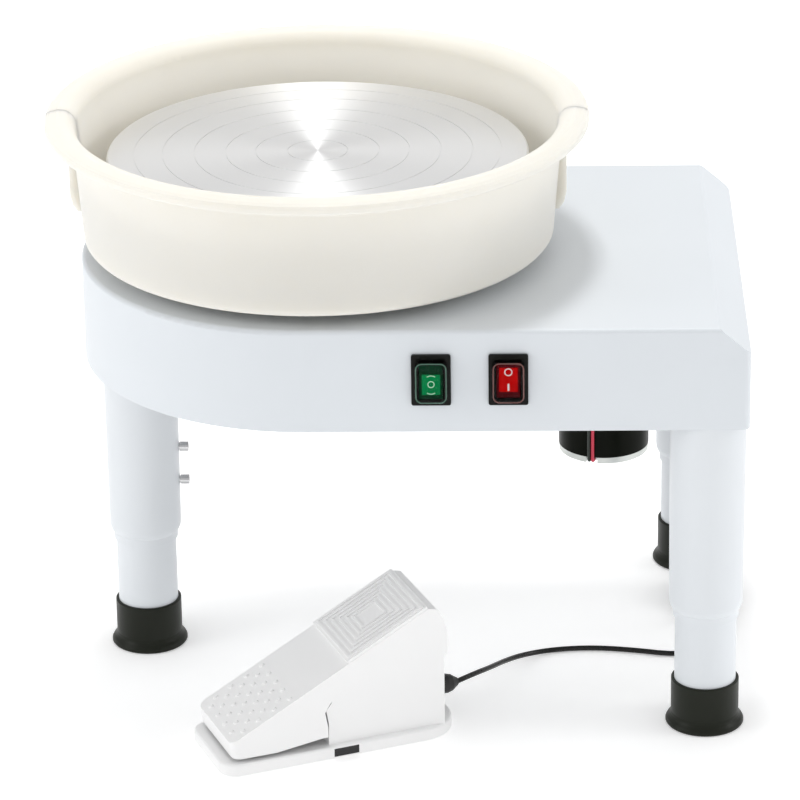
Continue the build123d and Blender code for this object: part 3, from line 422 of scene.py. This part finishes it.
# ---- materials ----
def new_material(name, colour, **sockets):
    """A Principled material; socket names are written with underscores."""
    material = bpy.data.materials.new(name)
    material.use_nodes = True
    shader = material.node_tree.nodes["Principled BSDF"]
    shader.inputs["Base Color"].default_value = (*colour, 1)
    for socket, value in sockets.items():
        shader.inputs[socket.replace("_", " ")].default_value = value
    return material


def add_node(material, kind, **settings):
    """A node of this kind with its properties set."""
    node = material.node_tree.nodes.new(kind)
    for key, value in settings.items():
        setattr(node, key, value)
    return node


def object_noise(material, scale, detail=3.0, roughness=0.55):
    """Noise in object space; scale is in features per metre."""
    place = add_node(material, "ShaderNodeTexCoord")
    noise = add_node(material, "ShaderNodeTexNoise")
    noise.inputs["Scale"].default_value = scale
    noise.inputs["Detail"].default_value = detail
    noise.inputs["Roughness"].default_value = roughness
    material.node_tree.links.new(place.outputs["Object"], noise.inputs["Vector"])
    return noise.outputs["Fac"]


def vary_roughness(material, source, low, high):
    """Roughness that runs from low to high with the source."""
    spread = add_node(material, "ShaderNodeMapRange")
    spread.inputs["To Min"].default_value = low
    spread.inputs["To Max"].default_value = high
    shader = material.node_tree.nodes["Principled BSDF"]
    material.node_tree.links.new(source, spread.inputs["Value"])
    material.node_tree.links.new(spread.outputs["Result"], shader.inputs["Roughness"])


def vary_colour(material, source, first, second):
    """Base colour that runs from the first to the second with the source."""
    ramp = add_node(material, "ShaderNodeValToRGB")
    ramp.color_ramp.elements[0].position = 0.3
    ramp.color_ramp.elements[0].color = (*first, 1)
    ramp.color_ramp.elements[1].position = 0.7
    ramp.color_ramp.elements[1].color = (*second, 1)
    shader = material.node_tree.nodes["Principled BSDF"]
    material.node_tree.links.new(source, ramp.inputs["Fac"])
    material.node_tree.links.new(ramp.outputs["Color"], shader.inputs["Base Color"])


def add_bump(material, source, strength, depth):
    """Bump from the source, with its depth in metres."""
    bump = add_node(material, "ShaderNodeBump")
    bump.inputs["Strength"].default_value = strength
    bump.inputs["Distance"].default_value = depth
    shader = material.node_tree.nodes["Principled BSDF"]
    material.node_tree.links.new(source, bump.inputs["Height"])
    material.node_tree.links.new(bump.outputs["Normal"], shader.inputs["Normal"])


def shaded(colour, factor):
    """A colour made a little darker or lighter."""
    return tuple(min(1.0, channel * factor) for channel in colour)


def surface(name, colour, rough, grain=400, bump=0.00002, spread=0.03, patch=9, **sockets):
    """A painted or moulded surface: slow colour change, uneven gloss and a fine grain."""
    material = new_material(name, colour, **sockets)
    slow = object_noise(material, patch, detail=2)
    vary_colour(material, slow, shaded(colour, 1 - spread), shaded(colour, 1 + spread))
    fine = object_noise(material, grain, detail=4)
    vary_roughness(material, fine, rough * 0.85, rough * 1.15)
    add_bump(material, fine, 0.35, bump)
    return material


def turned_metal(name, colour, rough):
    """Metal turned on a lathe: fine rings about the spindle, with highlights drawn out across them."""
    material = new_material(name, colour, Metallic=1.0, Anisotropic=0.8, Anisotropic_Rotation=0.25)
    nodes, links = material.node_tree.nodes, material.node_tree.links
    tangent = add_node(material, "ShaderNodeTangent", direction_type="RADIAL", axis="Z")
    shader = nodes["Principled BSDF"]
    links.new(tangent.outputs["Tangent"], shader.inputs["Tangent"])
    place = add_node(material, "ShaderNodeTexCoord")
    shift = add_node(material, "ShaderNodeVectorMath", operation="SUBTRACT")
    shift.inputs[1].default_value = (SPINDLE.x, SPINDLE.y, 0)
    flat = add_node(material, "ShaderNodeVectorMath", operation="MULTIPLY")
    flat.inputs[1].default_value = (1, 1, 0)
    reach = add_node(material, "ShaderNodeVectorMath", operation="LENGTH")
    noise = add_node(material, "ShaderNodeTexNoise", noise_dimensions="1D")
    noise.inputs["Scale"].default_value = 1400
    noise.inputs["Detail"].default_value = 3
    links.new(place.outputs["Object"], shift.inputs[0])
    links.new(shift.outputs["Vector"], flat.inputs[0])
    links.new(flat.outputs["Vector"], reach.inputs[0])
    links.new(reach.outputs["Value"], noise.inputs["W"])
    vary_roughness(material, noise.outputs["Fac"], rough * 0.75, rough * 1.25)
    add_bump(material, noise.outputs["Fac"], 0.25, 0.00002)
    return material


WHITE_PAINT = (0.70, 0.735, 0.77)
LEG_PAINT = (0.72, 0.75, 0.78)
IVORY = (0.755, 0.728, 0.665)
RUBBER = (0.008, 0.010, 0.005)
PEDAL_GREY = (0.92, 0.92, 0.92)
STEEL = (0.56, 0.57, 0.58)

LOOKS = {
    "housing_paint": surface("housing_paint", WHITE_PAINT, 0.42, grain=900, bump=0.000015, spread=0.01),
    "leg_paint": surface("leg_paint", LEG_PAINT, 0.40, grain=900, bump=0.000015, spread=0.01),
    "plate_steel": surface("plate_steel", (0.45, 0.46, 0.47), 0.45, Metallic=0.3),
    "pan_plastic": surface("pan_plastic", IVORY, 0.48, grain=500, spread=0.02, Subsurface_Weight=0.9,
                           Subsurface_Radius=(1.0, 0.95, 0.86), Subsurface_Scale=0.014,
                           Specular_IOR_Level=0.25),
    "wheel_aluminium": turned_metal("wheel_aluminium", (0.87, 0.87, 0.87), 0.34),
    "spindle_steel": surface("spindle_steel", STEEL, 0.25, Metallic=1.0),
    "screw_steel": surface("screw_steel", (0.62, 0.62, 0.63), 0.18, Metallic=1.0),
    "bearing_steel": surface("bearing_steel", (0.65, 0.65, 0.67), 0.2, Metallic=1.0),
    "cast_housing": surface("cast_housing", (0.09, 0.09, 0.095), 0.6, grain=700, bump=0.0001, Metallic=0.4),
    "belt_rubber": surface("belt_rubber", (0.02, 0.02, 0.02), 0.7),
    "motor_black": surface("motor_black", (0.003, 0.004, 0.002), 0.30, grain=600,
                           Specular_IOR_Level=0.06),
    "motor_cap": surface("motor_cap", (0.62, 0.64, 0.62), 0.42, Metallic=0.85),
    "magnet": surface("magnet", (0.07, 0.07, 0.07), 0.5, Metallic=0.5),
    "rotor_steel": surface("rotor_steel", (0.40, 0.38, 0.35), 0.4, Metallic=1.0),
    "wire_red": surface("wire_red", (0.60, 0.03, 0.07), 0.35),
    "wire_black": surface("wire_black", (0.012, 0.02, 0.014), 0.35),
    "board_green": surface("board_green", (0.02, 0.14, 0.06), 0.35, grain=300),
    "component_dark": surface("component_dark", (0.03, 0.03, 0.04), 0.45),
    "heatsink": surface("heatsink", (0.62, 0.62, 0.64), 0.4, Metallic=1.0),
    "switch_black": surface("switch_black", (0.006, 0.006, 0.005), 0.25, Specular_IOR_Level=0.12),
    "rocker_green": surface("rocker_green", (0.0, 0.035, 0.012), 0.22, Specular_IOR_Level=0.08),
    "rocker_red": surface("rocker_red", (0.075, 0.0, 0.002), 0.22, Specular_IOR_Level=0.08),
    "window_green": surface("window_green", (0.0, 0.27, 0.075), 0.2, spread=0.15, patch=150,
                            Specular_IOR_Level=0.05),
    "window_red": surface("window_red", (0.62, 0.0, 0.0), 0.2, spread=0.15, patch=150,
                          Specular_IOR_Level=0.05),
    "mark_green": surface("mark_green", (0.55, 0.95, 0.68), 0.4),
    "mark_white": surface("mark_white", (0.95, 0.88, 0.86), 0.4),
    "boot_clear": surface("boot_clear", (0.90, 0.90, 0.90), 0.04, Transmission_Weight=1.0, IOR=1.08),
    # The boot beads' light tints are a painted highlight along the edges of the clear boots.
    "rim_green": surface("rim_green", (0.10, 0.20, 0.15), 0.15),
    "rim_red": surface("rim_red", (0.22, 0.10, 0.09), 0.15),
    "inlet_black": surface("inlet_black", (0.015, 0.015, 0.015), 0.4),
    "foot_rubber": surface("foot_rubber", RUBBER, 0.42, grain=700, bump=0.00004, spread=0.15,
                           Specular_IOR_Level=0.22),
    "pedal_plastic": surface("pedal_plastic", PEDAL_GREY, 0.5, grain=1300, bump=0.00006, spread=0.01),
    "pedal_rubber": surface("pedal_rubber", (0.012, 0.012, 0.012), 0.45),
    "nylon": surface("nylon", (0.80, 0.78, 0.72), 0.4),
    "spring_steel": surface("spring_steel", (0.45, 0.45, 0.45), 0.3, Metallic=1.0),
    "cord_black": surface("cord_black", (0.004, 0.004, 0.003), 0.28, grain=900,
                          Specular_IOR_Level=0.35),
}


def dress(piece, look):
    """Gives a piece one look in all its slots."""
    piece.data.materials.clear()
    piece.data.materials.append(LOOKS[look])


for part in frame["record"]["subparts"]:
    dress(NODES[part["node"]], part["material_slot"])
dress(pedal_cord, "cord_black")
dress(return_spring, "spring_steel")
for name, piece in switch_faces.items():
    hue = "green" if name.startswith("direction") else "red"
    if "mark" in name:
        dress(piece, "mark_green" if hue == "green" else "mark_white")
    else:
        # Boot beads take the light tint that paints the edge highlight.
        dress(piece, f"window_{hue}" if "window" in name else f"rim_{hue}")


# ---- stage ----
FLOOR_HALF = 8
FLOOR_Z = -0.0004
FLOOR_GLOW = 0.28
SURROUND = 0.70
BACK_GLOW = 1.05
BACK_GLOW_START = 0.86


def make_floor():
    """A wide white floor."""
    bm = bmesh.new()
    reach = FLOOR_HALF
    outline = ((-reach, -reach), (reach, -reach), (reach, reach), (-reach, reach))
    bm.faces.new([bm.verts.new((x, y, FLOOR_Z)) for x, y in outline])
    floor = mesh_object("floor", bm)
    white = new_material("floor_white", (0.96, 0.96, 0.96), Roughness=0.9)
    shader = white.node_tree.nodes["Principled BSDF"]
    shader.inputs["Emission Color"].default_value = (1, 1, 1, 1)
    shader.inputs["Emission Strength"].default_value = FLOOR_GLOW
    floor.data.materials.append(white)


def area_light(name, place, aim, size, power):
    """A soft rectangular light aimed at a point."""
    data = bpy.data.lights.new(name, "AREA")
    data.shape = "RECTANGLE"
    data.size, data.size_y = size
    data.energy = power
    light = add_object(name, data)
    light.location = place
    light.rotation_euler = (Vector(aim) - Vector(place)).to_track_quat("-Z", "Y").to_euler()


def make_lights():
    """A white surround, brighter behind the object, one light overhead and a broad one at each side."""
    world = bpy.data.worlds.new("world")
    world.use_nodes = True
    nodes, links = world.node_tree.nodes, world.node_tree.links
    background = nodes["Background"]
    background.inputs["Color"].default_value = (1, 1, 1, 1)
    direction = nodes.new("ShaderNodeTexCoord")
    split = nodes.new("ShaderNodeSeparateXYZ")
    fade = nodes.new("ShaderNodeMapRange")
    fade.interpolation_type = "SMOOTHSTEP"
    fade.inputs["From Min"].default_value = BACK_GLOW_START
    fade.inputs["To Min"].default_value = SURROUND
    fade.inputs["To Max"].default_value = BACK_GLOW
    links.new(direction.outputs["Generated"], split.inputs["Vector"])
    links.new(split.outputs["Y"], fade.inputs["Value"])
    links.new(fade.outputs["Result"], background.inputs["Strength"])
    bpy.context.scene.world = world
    aim = spot(50, 0, 250)
    area_light("overhead", (-0.05, 0.62, 2.75), aim, (0.42, 0.8), 26)
    area_light("left", (-2.2, -0.8, 1.3), aim, (1.0, 0.9), 11)
    area_light("right", (2.6, -0.15, 1.3), aim, (1.0, 0.9), 13)


make_floor()
make_lights()
bpy.context.scene.view_settings.view_transform = "Standard"
